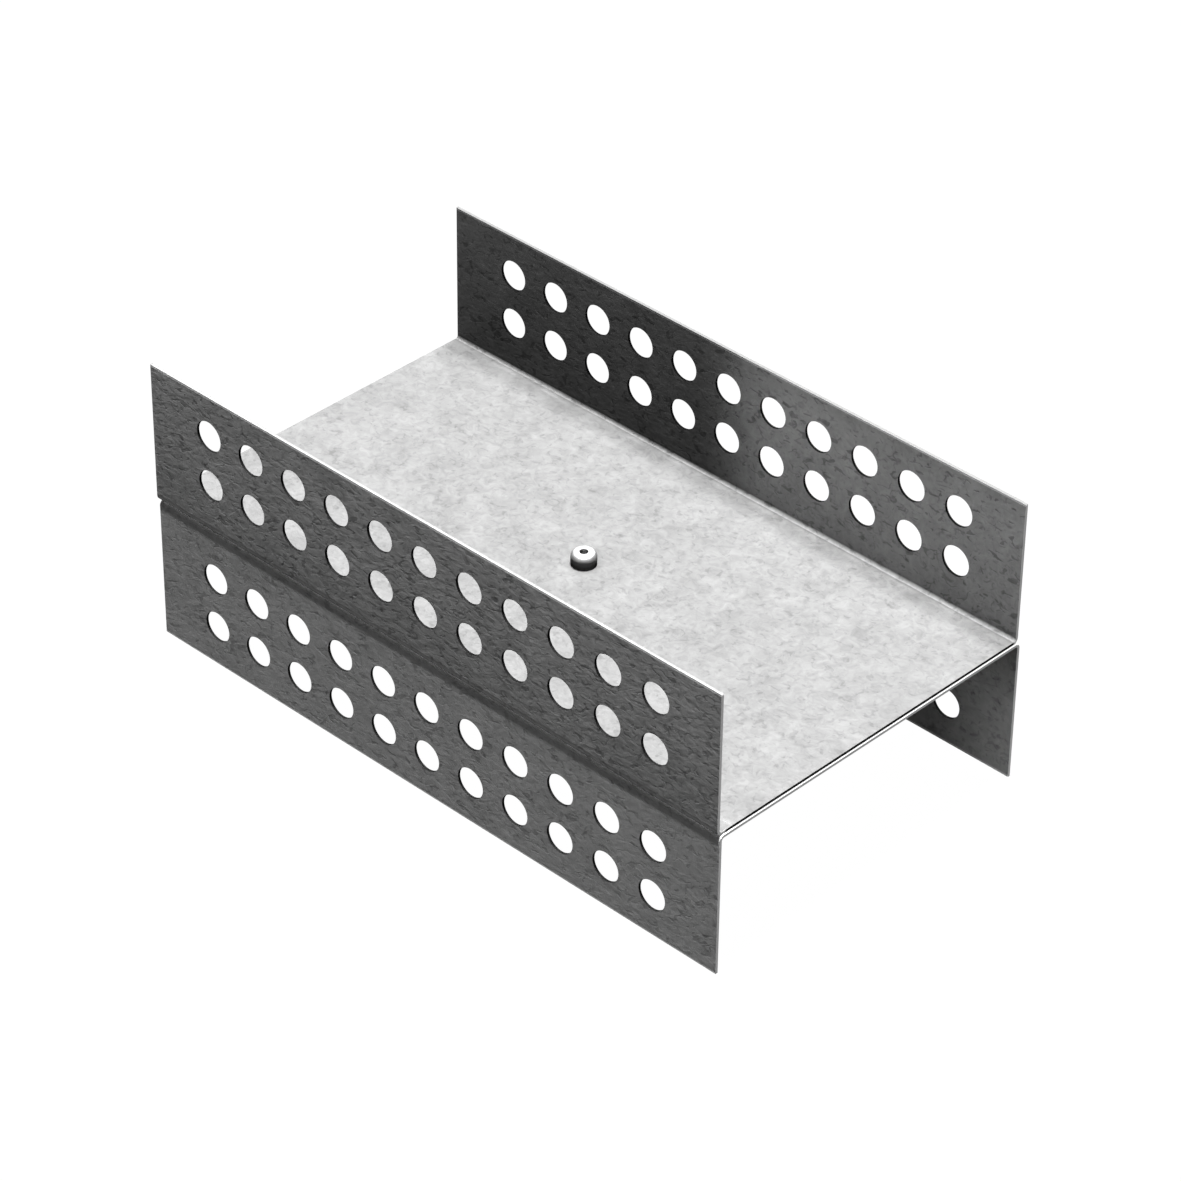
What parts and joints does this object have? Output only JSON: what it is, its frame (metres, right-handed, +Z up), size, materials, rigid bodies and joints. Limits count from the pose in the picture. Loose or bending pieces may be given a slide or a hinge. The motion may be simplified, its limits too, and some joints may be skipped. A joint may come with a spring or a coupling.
{
  "type": "back-to-back channel connector",
  "caption": "Two perforated folded sheet-steel U-channels set web to web on one blind rivet, joining crossing or in-line planks, joists or rails; the channels swivel.",
  "frame": {"origin": "middle of the bounding box, on the plane that the lower channel's flange edges stand on", "axes": "+X along both channels, +Y across them, +Z up along the rivet from the lower channel to the upper one"},
  "size_m": [0.2506, 0.1388, 0.1059],
  "materials": {
    "galvanised_sheet": "hot-dip galvanised, satin, softly mottled zinc",
    "rivet_alloy": "plain, satin",
    "mandrel_steel": "dull, broken end grey"
  },
  "bodies": {
    "lower": {"lower_channel": "galvanised_sheet", "rivet_body": "rivet_alloy", "rivet_mandrel": "mandrel_steel"},
    "upper": {"upper_channel": "galvanised_sheet"}
  },
  "joints": [
    {"name": "swivel", "type": "hinge", "parent": "lower", "child": "upper", "pos_m": [-0.00065, 0.0023, 0.05292], "axis": [0, 0, 1], "continuous": true}
  ]
}
